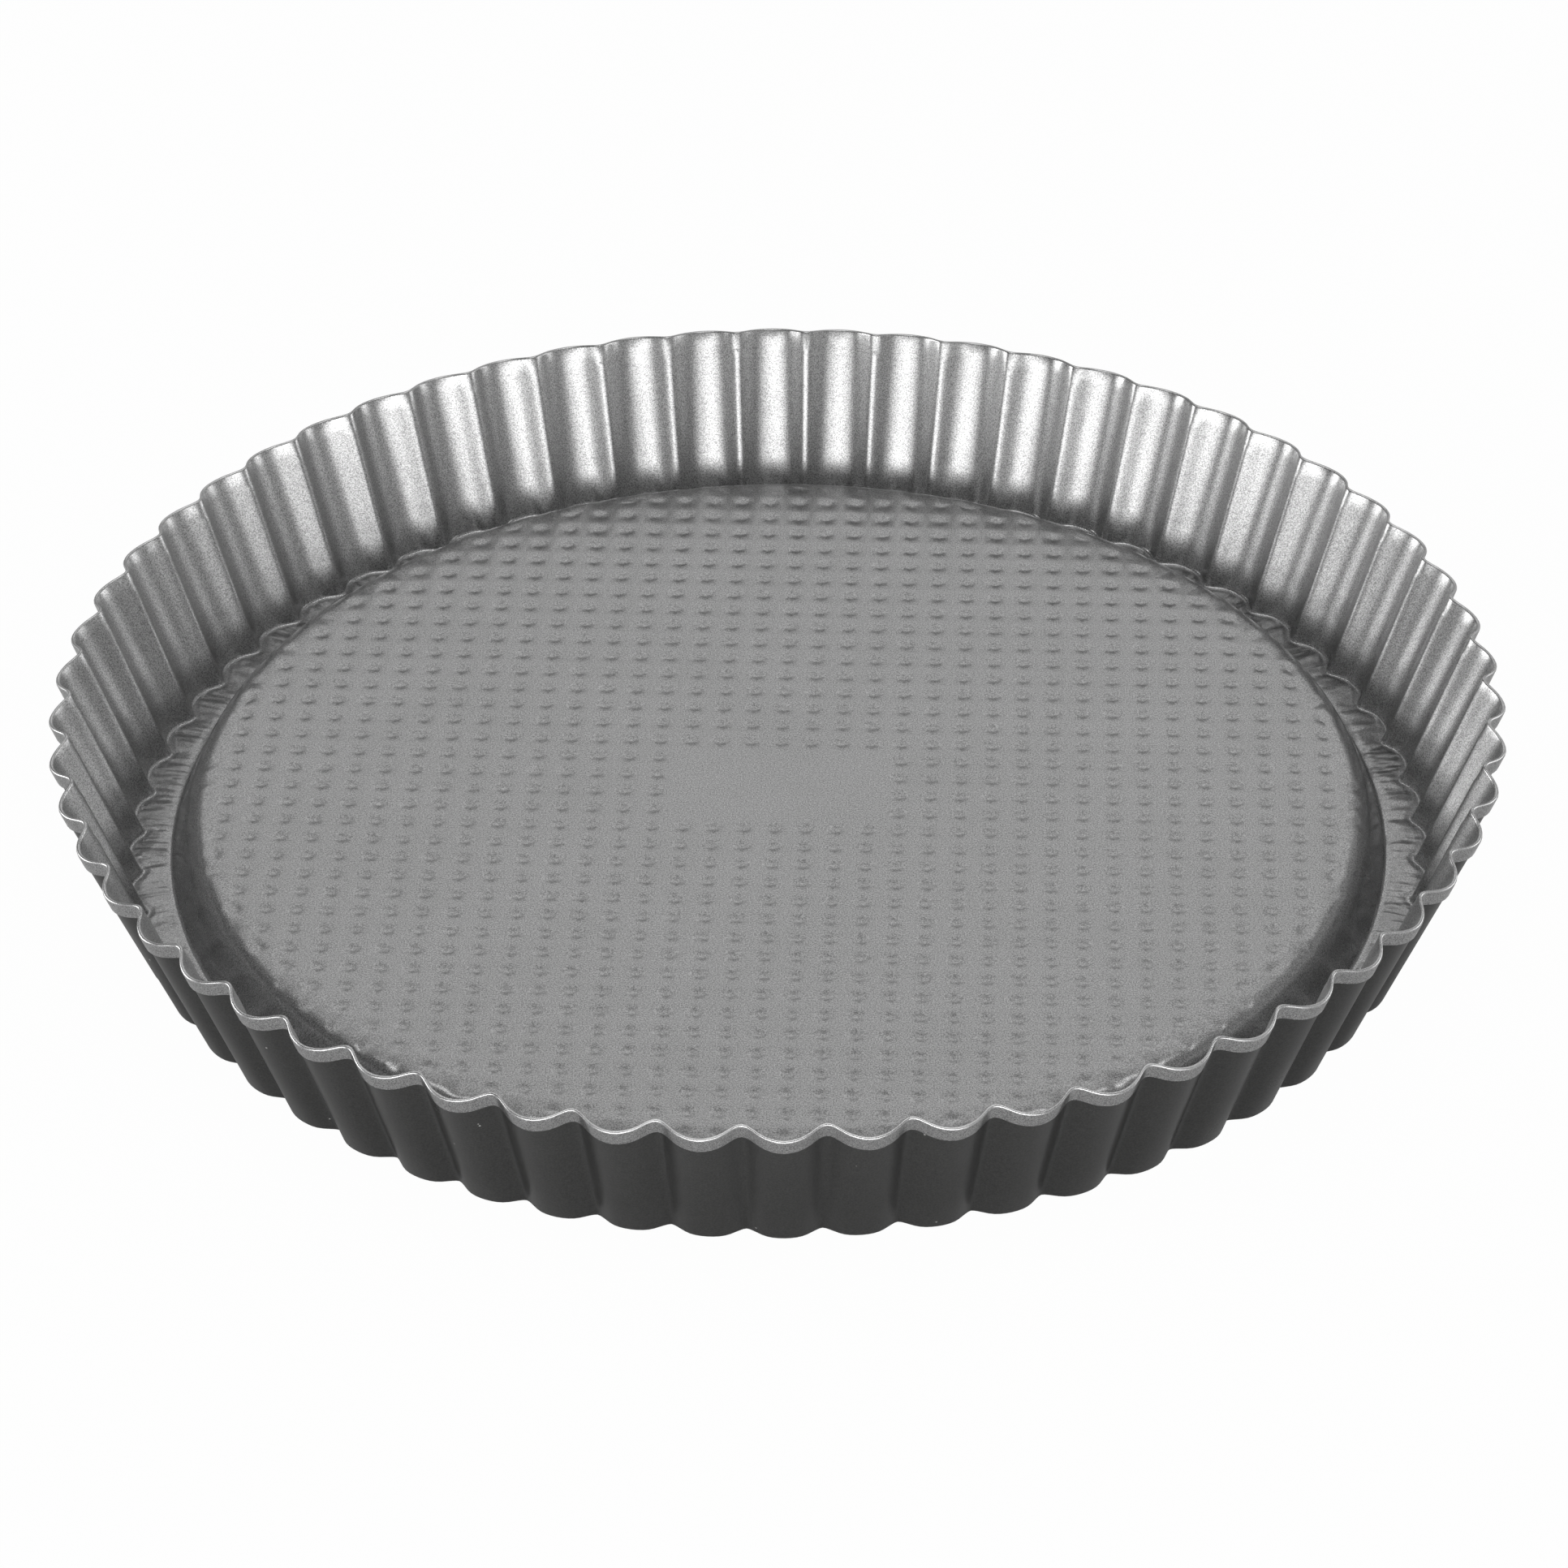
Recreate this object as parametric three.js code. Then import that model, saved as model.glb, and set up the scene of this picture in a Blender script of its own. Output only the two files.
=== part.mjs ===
// Sponge flan tin: one pressing of coated sheet steel with a flaring fluted wall, a rim hemmed to the outside,
// a gutter that moulds the flan's raised edge and a platform that moulds the bed for its filling.
// Millimetres, +Z up. The origin is on the standing face at the tin's axis, and a flute's lobe faces -Y.
import * as THREE from 'three';

// The sheet and its coats
const SHEET = 0.3; // steel
const LINING = 0.05; // non-stick coat on the side of the bowl
const LACQUER = 0.04; // coat on the outside
const BOND = 0.01; // clearance between the steel and each coat

// The wall
const HEIGHT = 33; // standing face to the crest of the rim, halfway between a lobe and a ridge
const RIM_RADIUS = 139.8; // axis to the middle of the hem
const FOOT_RADIUS = 127.4; // axis to the corner of the wall and the gutter floor
const FOOT_FILLET = 1.5; // radius inside that corner

// The flutes: wide lobes outward, narrow ridges inward
const FLUTES = 58;
const RIM_FLUTE_DEPTH = 3.3; // lobe to ridge, square to the wall
const FOOT_FLUTE_DEPTH = 2.3;
const RIDGE_SHARPNESS = 0.18; // share of the second harmonic, which narrows the ridges

// The hem
const HEM_WIDTH = 3.5; // the leaf, from the crest to its raw edge
const HEM_GAP = 0.14; // between the steel of the leaf and of the wall

// The gutter, the shoulder and the platform
const CREASE_RADIUS = 119.6; // axis to the corner of the gutter floor and the shoulder
const PLATFORM_RADIUS = 112.8; // axis to the edge of the platform's flat
const PLATFORM_RISE = 9.45; // gutter floor to platform
const BREAK_RADIUS = 4; // rounding from the platform to the shoulder

// Facets
const STEPS_PER_FLUTE = 4;
const LOBE_CROWDING = 0.44; // radians of a flute by which its side steps are drawn towards the lobe
const BREAK_STEPS = 2;
const FOOT_STEPS = 1;

// The section is drawn in (radius, height), on the steel's face towards the bowl
const FLOOR_Z = LACQUER + BOND + SHEET;
const HALF_HEM = SHEET + HEM_GAP / 2;
const UP = new THREE.Vector2(0, 1);
const STILL = new THREE.Vector2(0, 0);

// A straight run that leaves a corner and touches a circle: its lean from the vertical towards the circle
function tangentLean(corner, centre, radius) {
  const reach = centre.clone().sub(corner);
  return Math.atan2(Math.abs(reach.x), reach.y) - Math.asin(radius / reach.length());
}

const footCorner = new THREE.Vector2(FOOT_RADIUS, FLOOR_Z);
const foldCentre = new THREE.Vector2(RIM_RADIUS, HEIGHT - LINING - BOND - HALF_HEM);
const flare = tangentLean(footCorner, foldCentre, HALF_HEM);
const wallUp = new THREE.Vector2(Math.sin(flare), Math.cos(flare));
const wallOut = new THREE.Vector2(Math.cos(flare), -Math.sin(flare));

const crease = new THREE.Vector2(CREASE_RADIUS, FLOOR_Z);
const breakCentre = new THREE.Vector2(PLATFORM_RADIUS, FLOOR_Z + PLATFORM_RISE - BREAK_RADIUS);
const shoulderLean = tangentLean(crease, breakCentre, BREAK_RADIUS);
const shoulderOut = new THREE.Vector2(Math.cos(shoulderLean), Math.sin(shoulderLean));

// Flute travel: the foot moves level along the floor, the rim square to the wall, so the wall stays straight
const footTravel = new THREE.Vector2(FOOT_FLUTE_DEPTH / Math.cos(flare), 0);
const rimTravel = wallOut.clone().multiplyScalar(RIM_FLUTE_DEPTH);

// A station is one point of the section, with the way it moves for each millimetre that the face is offset
// towards the bowl, and the way it moves from ridge to lobe
function station(point, away, travel) {
  return { point, away, travel };
}

// Stations along an arc: away turns evenly, and faces the centre where the bowl is on the hollow side
function arcStations(centre, radius, steps, awayAt, travel) {
  return Array.from({ length: steps + 1 }, (unused, step) => {
    const away = awayAt(step / steps);
    return station(centre.clone().addScaledVector(away, radius), away, travel);
  });
}

function platformStations() {
  const turn = Math.PI / 2 - shoulderLean;
  const awayAt = (share) => new THREE.Vector2(Math.sin(turn * share), Math.cos(turn * share));
  const middle = station(new THREE.Vector2(0, FLOOR_Z + PLATFORM_RISE), UP, STILL);
  return [middle, ...arcStations(breakCentre, BREAK_RADIUS, BREAK_STEPS, awayAt, STILL)];
}

function creaseStation() {
  const mitre = UP.clone().add(shoulderOut);
  mitre.divideScalar(1 + UP.dot(shoulderOut));
  return station(crease, mitre, STILL);
}

function footStations() {
  const turn = Math.PI / 2 - flare;
  const centre = new THREE.Vector2(FOOT_RADIUS - FOOT_FILLET * Math.tan(turn / 2), FLOOR_Z + FOOT_FILLET);
  const awayAt = (share) => new THREE.Vector2(-Math.sin(turn * share), Math.cos(turn * share));
  return arcStations(centre, -FOOT_FILLET, FOOT_STEPS, awayAt, footTravel);
}

// The fold, pressed flat: the sheet turns square up off the wall, over the gap and down into the leaf
function foldStations() {
  return [-1, 1].map((side) => {
    const mitre = wallUp.clone().addScaledVector(wallOut, side);
    return station(foldCentre.clone().addScaledVector(mitre, HALF_HEM), mitre, rimTravel);
  });
}

function hemEdgeStation() {
  const crest = foldCentre.clone().addScaledVector(wallOut, HALF_HEM).addScaledVector(wallUp, HALF_HEM);
  return station(crest.addScaledVector(wallUp, -HEM_WIDTH), wallOut, rimTravel);
}

// Ridge to lobe, from about -0.6 to 0.4
function fluteWave(phase) {
  return (Math.cos(phase) - RIDGE_SHARPNESS * Math.cos(2 * phase)) / 2;
}

// One ring of points round the axis: a single point on the axis, a step for each flute where the section
// is round, and several where it is fluted
function ring({ point, away, travel }, offset) {
  const face = point.clone().addScaledVector(away, offset);
  if (point.x === 0) {
    return [new THREE.Vector3(0, 0, face.y)];
  }
  const steps = travel === STILL ? 1 : STEPS_PER_FLUTE;
  return Array.from({ length: FLUTES * steps }, (unused, index) => {
    const turn = (2 * Math.PI * index) / steps;
    const phase = turn - LOBE_CROWDING * Math.sin(turn);
    const angle = phase / FLUTES - Math.PI / 2;
    const place = face.clone().addScaledVector(travel, fluteWave(phase));
    return new THREE.Vector3(place.x * Math.cos(angle), place.x * Math.sin(angle), place.y);
  });
}

// Triangles between two rings, stepping along whichever lags, so rings of different counts join
function bridge(inner, outer, addTriangle) {
  const innerSteps = inner.length > 1 ? inner.length : 0;
  const outerSteps = outer.length;
  let i = 0;
  let j = 0;
  while (i < innerSteps || j < outerSteps) {
    const a = inner[i % inner.length];
    const b = outer[j % outerSteps];
    const outerLags = (j + 0.5) * innerSteps <= (i + 0.5) * outerSteps;
    if (outerLags) {
      j += 1;
      addTriangle(a, b, outer[j % outerSteps]);
    } else {
      i += 1;
      addTriangle(a, b, inner[i % inner.length]);
    }
  }
}

// A layer of the sheet between two offsets from the steel's bowl face: both faces and the raw edge
function layerGeometry(stations, bowlOffset, outsideOffset) {
  const positions = [];
  const addTriangle = (a, b, c) => [a, b, c].forEach((corner) => positions.push(...corner.toArray()));
  const addFlipped = (a, b, c) => addTriangle(a, c, b);
  const bowlFace = stations.map((each) => ring(each, bowlOffset));
  const outsideFace = stations.map((each) => ring(each, outsideOffset));
  for (let next = 1; next < stations.length; next += 1) {
    bridge(bowlFace[next - 1], bowlFace[next], addTriangle);
    bridge(outsideFace[next - 1], outsideFace[next], addFlipped);
  }
  bridge(bowlFace.at(-1), outsideFace.at(-1), addTriangle);
  const geometry = new THREE.BufferGeometry();
  geometry.setAttribute('position', new THREE.Float32BufferAttribute(positions, 3));
  geometry.computeVertexNormals();
  return geometry;
}

function layer(name, stations, bowlOffset, outsideOffset, finish) {
  const mesh = new THREE.Mesh(
    layerGeometry(stations, bowlOffset, outsideOffset),
    new THREE.MeshStandardMaterial(finish),
  );
  mesh.name = name;
  return mesh;
}

const [wallTop, leafTop] = foldStations();
const toWallTop = [...platformStations(), creaseStation(), ...footStations(), wallTop];
const toHemEdge = [...toWallTop, leafTop, hemEdgeStation()];

const tin = new THREE.Group();
tin.add(
  layer('steel_pressing', toHemEdge, 0, -SHEET, { color: 0xb4b7ba, roughness: 0.35, metalness: 1 }),
  layer('nonstick_lining', toHemEdge, BOND + LINING, BOND, { color: 0x9b9d9d, roughness: 0.4, metalness: 0.7 }),
  layer('outer_lacquer', toWallTop, -SHEET - BOND, -SHEET - BOND - LACQUER, {
    color: 0x3a3b3c,
    roughness: 0.45,
    metalness: 0.1,
  }),
);

export default tin;
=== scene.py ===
"""Dressed scene of a sponge flan tin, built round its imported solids.

The tin is one pressing of coated sheet steel, so the scene draws its three layers as fine closed shells: the
metallic non-stick lining of the bowl, the steel between the coats and the dark lacquer of the outside.
The dimples, wrinkles and pressing marks that the solids leave out are real shape here.
Lengths in the classes are millimetres. Meshes are in metres, +Z up, in the solids' own frame.
"""

import logging
import math
from dataclasses import dataclass, field
from enum import Enum, IntEnum
from typing import Any, ClassVar

import bpy
import numpy as np
from mathutils import Matrix, Vector

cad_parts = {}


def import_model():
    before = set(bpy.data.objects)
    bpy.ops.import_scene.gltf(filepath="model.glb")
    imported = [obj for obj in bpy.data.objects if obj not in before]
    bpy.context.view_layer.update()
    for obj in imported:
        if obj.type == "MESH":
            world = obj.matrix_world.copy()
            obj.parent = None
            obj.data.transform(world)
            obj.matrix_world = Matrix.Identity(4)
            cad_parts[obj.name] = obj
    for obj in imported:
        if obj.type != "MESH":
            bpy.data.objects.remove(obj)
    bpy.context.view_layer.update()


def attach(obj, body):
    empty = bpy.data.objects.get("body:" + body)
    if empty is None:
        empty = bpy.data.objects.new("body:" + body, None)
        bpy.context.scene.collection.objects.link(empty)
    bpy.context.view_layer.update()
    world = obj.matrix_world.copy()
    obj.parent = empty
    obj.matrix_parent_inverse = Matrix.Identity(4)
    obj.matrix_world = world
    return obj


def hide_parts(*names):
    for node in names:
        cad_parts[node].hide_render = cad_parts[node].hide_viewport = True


LOG = logging.getLogger("flan_tin")
MM = 0.001
BODY = "root"
SHARP_EDGE = math.radians(50)
TURN = 2 * math.pi
WHITE = (1.0, 1.0, 1.0, 1.0)

# Sockets of the colour form of the Mix node
MIX_SHARE = 0
MIX_FIRST = 6
MIX_SECOND = 7
MIX_COLOUR = 2

# Values of a noise pattern between which nearly all of it lies
NOISE_BAND = (0.3, 0.7)

# Shares of the wall, from the hem's edge, that get rows of their own on faces that show and on hidden ones
HEM_ROWS = (-0.03, -0.012, 0.0, 0.012)
HIDDEN_HEM_ROWS = (-0.012, 0.012)


def linear(code: str) -> tuple[float, float, float, float]:
    """Turn an sRGB hex value into a linear colour, by the curve of the sRGB standard.

    Args:
        code: A hash sign and six hex digits.

    Returns:
        Red, green, blue and an alpha of one.
    """
    channels = [int(code[start:start + 2], 16) / 255 for start in (1, 3, 5)]
    red, green, blue = (c / 12.92 if c <= 0.04045 else ((c + 0.055) / 1.055) ** 2.4 for c in channels)
    return red, green, blue, 1.0


def eased(share: np.ndarray) -> np.ndarray:
    """Ease a share in and out between nought and one."""
    held = np.clip(share, 0, 1)
    return held * held * (3 - 2 * held)


def per_metre(size: float) -> float:
    """Give the scale of a pattern whose features are this many millimetres across."""
    return 1 / (size * MM)


def add_node(tree: bpy.types.NodeTree, kind: str, inputs: dict[str | int, Any] | None = None,
             **settings: Any) -> bpy.types.Node:
    """Add a node with its settings, and fill its inputs.

    Args:
        tree: The node tree that takes the node.
        kind: Blender's name for the node's type.
        inputs: Values, or output sockets to link, by the input's name or number.
        **settings: Properties of the node.

    Returns:
        The new node.
    """
    node = tree.nodes.new(kind)
    for name, value in settings.items():
        setattr(node, name, value)
    for key, value in (inputs or {}).items():
        if isinstance(value, bpy.types.NodeSocket):
            tree.links.new(value, node.inputs[key])
        else:
            node.inputs[key].default_value = value
    return node


def fresh_material(name: str) -> tuple[bpy.types.Material, bpy.types.NodeTree]:
    """Make a material with an empty node tree.

    Args:
        name: What the real material is.

    Returns:
        The material and its tree.
    """
    material = bpy.data.materials.new(name)
    material.use_nodes = True
    material.node_tree.nodes.clear()
    return material, material.node_tree


class Zone(Enum):
    """The runs of the section, from the platform's edge out to the raw edge of the hem."""

    BREAK = "break"
    SHOULDER = "shoulder"
    CREASE = "crease"
    GUTTER = "gutter"
    FOOT = "foot"
    WALL = "wall"
    FOLD = "fold"
    LEAF = "leaf"


class Detail(Enum):
    """How finely a face is drawn: the rows of every run, and those that the hem's edge adds to the wall."""

    BOWL = ({Zone.BREAK: 5, Zone.SHOULDER: 3, Zone.CREASE: 2, Zone.GUTTER: 6, Zone.FOOT: 4,
             Zone.WALL: 3, Zone.FOLD: 5, Zone.LEAF: 1}, HEM_ROWS)
    OUTSIDE = ({Zone.BREAK: 5, Zone.SHOULDER: 1, Zone.CREASE: 3, Zone.GUTTER: 1, Zone.FOOT: 5,
                Zone.WALL: 3, Zone.FOLD: 2, Zone.LEAF: 1}, HEM_ROWS)
    HIDDEN = ({Zone.BREAK: 4, Zone.SHOULDER: 1, Zone.CREASE: 2, Zone.GUTTER: 0, Zone.FOOT: 2,
               Zone.WALL: 1, Zone.FOLD: 3, Zone.LEAF: 1}, HIDDEN_HEM_ROWS)

    def __init__(self, rows: dict[Zone, int], hem_rows: tuple[float, ...]) -> None:
        """Keep the counts of one option."""
        self.rows = rows
        self.hem_rows = hem_rows


@dataclass(frozen=True)
class Arc:
    """A round run of the section, on the steel's face towards the bowl.

    Away angles are measured from straight up, towards the rim. The radius is negative where the bowl is on
    the hollow side. Travel is the way from ridge to lobe.
    """

    zone: Zone
    centre: np.ndarray
    radius: float
    first: float
    last: float
    travel: np.ndarray

    def at(self, share: float) -> tuple[np.ndarray, np.ndarray]:
        """Find a place on the arc.

        Args:
            share: How far along the arc.

        Returns:
            The point, and the way out of the sheet there.
        """
        angle = self.first + share * (self.last - self.first)
        away = np.array([math.sin(angle), math.cos(angle)])
        return self.centre + self.radius * away, away


@dataclass
class Rows:
    """Points of the section in order, with all that places them round the tin."""

    points: list[np.ndarray] = field(default_factory=list)
    aways: list[np.ndarray] = field(default_factory=list)
    travels: list[np.ndarray] = field(default_factory=list)
    zones: list[Zone] = field(default_factory=list)
    shares: list[float] = field(default_factory=list)

    def add(self, point: np.ndarray, away: np.ndarray, travel: np.ndarray, zone: Zone, share: float) -> None:
        """Add one row.

        Args:
            point: Its radius and height.
            away: The way out of the sheet, towards the bowl.
            travel: The way from ridge to lobe.
            zone: The run that it belongs to.
            share: How far along that run.
        """
        self.points.append(point)
        self.aways.append(away)
        self.travels.append(travel)
        self.zones.append(zone)
        self.shares.append(share)


@dataclass(frozen=True)
class Section:
    """The pressing's section in radius and height: the solids' sizes, with a round fold and rounded corners.

    The platform rolls off before its edge, and towards -Y the edge has sunk a little.
    """

    # The sheet, its coats and the clearance between them
    steel: float = 0.3
    lining: float = 0.05
    lacquer: float = 0.04
    bond: float = 0.01

    # The wall, its flutes and its hem
    height: float = 33.0
    rim_radius: float = 139.8
    foot_radius: float = 127.4
    foot_fillet: float = 0.9
    rim_flute_depth: float = 3.3
    foot_flute_depth: float = 2.3
    hem_width: float = 3.5
    hem_gap: float = 0.14

    # The gutter, the shoulder and the platform
    crease_radius: float = 119.6
    crease_fillet: float = 0.9
    platform_radius: float = 112.8
    platform_rise: float = 9.45
    break_radius: float = 4.0

    # The platform's roll-off, and the slack of its edge
    edge_fall: float = 0.06
    edge_run: float = 4.5
    slack_depth: float = 0.5
    slack_start: float = 108.5
    slack_run: float = 7.0
    slack_side: float = 0.75

    @property
    def floor_z(self) -> float:
        """Height of the steel's bowl face in the gutter."""
        return self.lacquer + self.bond + self.steel

    @property
    def platform_z(self) -> float:
        """Height of the steel's bowl face on the platform."""
        return self.floor_z + self.platform_rise

    @property
    def half_hem(self) -> float:
        """Radius of the steel's bowl face round the fold."""
        return self.steel + self.hem_gap / 2

    @property
    def edge_slope(self) -> float:
        """Slope in radians at which the platform runs into the break."""
        return 2 * self.edge_fall / self.edge_run

    @property
    def edge_radius(self) -> float:
        """Radius at which the break begins."""
        return self.platform_radius + self.break_radius * math.sin(self.edge_slope)

    def fall(self, radius: np.ndarray) -> np.ndarray:
        """Give how far the platform has rolled off at a distance from the axis."""
        return self.edge_fall * np.clip((radius - self.edge_radius) / self.edge_run + 1, 0, 1) ** 2

    def slack(self, places: np.ndarray) -> np.ndarray:
        """Give how far the platform's edge has sunk towards -Y, where the sheet was drawn in further.

        Args:
            places: Places in millimetres, in the last axis.

        Returns:
            Depth at each place.
        """
        radius = np.linalg.norm(places, axis=-1)
        side = -places[..., 1] / (self.slack_side * np.maximum(radius, self.slack_run))
        return self.slack_depth * eased((radius - self.slack_start) / self.slack_run) * eased(side)

    @staticmethod
    def lean(corner: np.ndarray, centre: np.ndarray, radius: float) -> float:
        """Find how a straight run leans from the vertical to leave a corner and touch a circle.

        Args:
            corner: Where the run starts.
            centre: Middle of the circle.
            radius: Radius of the circle.

        Returns:
            The lean in radians, towards the circle.
        """
        reach = centre - corner
        return math.atan2(abs(reach[0]), reach[1]) - math.asin(radius / np.hypot(*reach))

    def arcs(self) -> list[Arc]:
        """Lay out the round runs: break, crease, foot and fold.

        Returns:
            The four arcs in order from the platform outward.
        """
        still = np.zeros(2)
        fold_centre = np.array([self.rim_radius, self.height - self.lining - self.bond - self.half_hem])
        flare = self.lean(np.array([self.foot_radius, self.floor_z]), fold_centre, self.half_hem)
        wall_turn = math.pi / 2 - flare
        foot_centre = np.array([self.foot_radius - self.foot_fillet * math.tan(wall_turn / 2),
                                self.floor_z + self.foot_fillet])
        foot_travel = np.array([self.foot_flute_depth / math.cos(flare), 0.0])
        rim_travel = self.rim_flute_depth * np.array([math.cos(flare), -math.sin(flare)])

        corner = np.array([self.crease_radius, self.floor_z])
        break_drop = self.edge_fall + self.break_radius * math.cos(self.edge_slope)
        break_centre = np.array([self.platform_radius, self.platform_z - break_drop])
        shoulder_turn = math.pi / 2 - self.lean(corner, break_centre, self.break_radius)
        crease_centre = corner + self.crease_fillet * np.array([math.tan(shoulder_turn / 2), 1.0])
        return [
            Arc(Zone.BREAK, break_centre, self.break_radius, self.edge_slope, shoulder_turn, still),
            Arc(Zone.CREASE, crease_centre, -self.crease_fillet, shoulder_turn, 0.0, still),
            Arc(Zone.FOOT, foot_centre, -self.foot_fillet, 0.0, -wall_turn, foot_travel),
            Arc(Zone.FOLD, fold_centre, self.half_hem, -wall_turn, math.pi - wall_turn, rim_travel),
        ]

    def rows(self, detail: Detail, hem_line: float) -> Rows:
        """Sample the section for one face.

        Args:
            detail: How many rows each run gets.
            hem_line: Share of the wall at which the hem's edge marks it, where extra rows are set.

        Returns:
            The rows, from the platform's edge to the raw edge of the hem.
        """
        straights = {Zone.BREAK: Zone.SHOULDER, Zone.CREASE: Zone.GUTTER, Zone.FOOT: Zone.WALL}
        arcs = self.arcs()
        rows = Rows()
        for arc, after in zip(arcs, [*arcs[1:], None]):
            steps = detail.rows[arc.zone]
            for step in range(steps + 1):
                rows.add(*arc.at(step / steps), arc.travel, arc.zone, step / steps)
            if after is None:
                continue
            zone = straights[arc.zone]
            start, away = arc.at(1.0)
            end, _ = after.at(0.0)
            shares = [step / (detail.rows[zone] + 1) for step in range(1, detail.rows[zone] + 1)]
            if zone is Zone.WALL:
                shares = sorted([*shares, *(hem_line + shift for shift in detail.hem_rows)])
            for share in shares:
                travel = arc.travel + share * (after.travel - arc.travel)
                rows.add(start + share * (end - start), away, travel, zone, share)
        fold = arcs[-1]
        top, away = fold.at(1.0)
        _, crest_way = fold.at(0.5)
        drop = self.hem_width - self.half_hem
        for step in range(1, detail.rows[Zone.LEAF] + 1):
            share = step / detail.rows[Zone.LEAF]
            rows.add(top - crest_way * drop * share, away, fold.travel, Zone.LEAF, share)
        return rows


@dataclass(frozen=True)
class Flutes:
    """The flutes round the wall: wide lobes outward and narrow ridges inward, with a lobe towards -Y."""

    count: int = 58
    steps: int = 16
    rim_sharpness: float = 0.18
    foot_sharpness: float = 0.25
    roundness: float = 0.04
    ridge_crowding: float = 0.28

    def phases(self) -> np.ndarray:
        """Give the phase of every column, closer together on the ridges.

        Returns:
            Phases from 0, on the front lobe, with 2 pi for each flute.
        """
        turn = np.arange(self.count * self.steps) * (TURN / self.steps)
        return turn + self.ridge_crowding * np.sin(turn)

    def wave(self, phase: np.ndarray, rise: float) -> np.ndarray:
        """Give the travel from ridge to lobe, from about -0.6 to 0.4.

        Args:
            phase: Phase of each column.
            rise: Share of the wall's height.

        Returns:
            The travel at each column. The second harmonic narrows the ridges, and the third rounds the lobes.
        """
        sharpness = self.foot_sharpness + rise * (self.rim_sharpness - self.foot_sharpness)
        round_lobe = self.roundness * (np.cos(3 * phase) - 1)
        return (np.cos(phase) - sharpness * np.cos(2 * phase) + round_lobe) / 2

    def angles(self, phase: np.ndarray) -> np.ndarray:
        """Give each column's angle round the tin."""
        return phase / self.count - math.pi / 2


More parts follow.
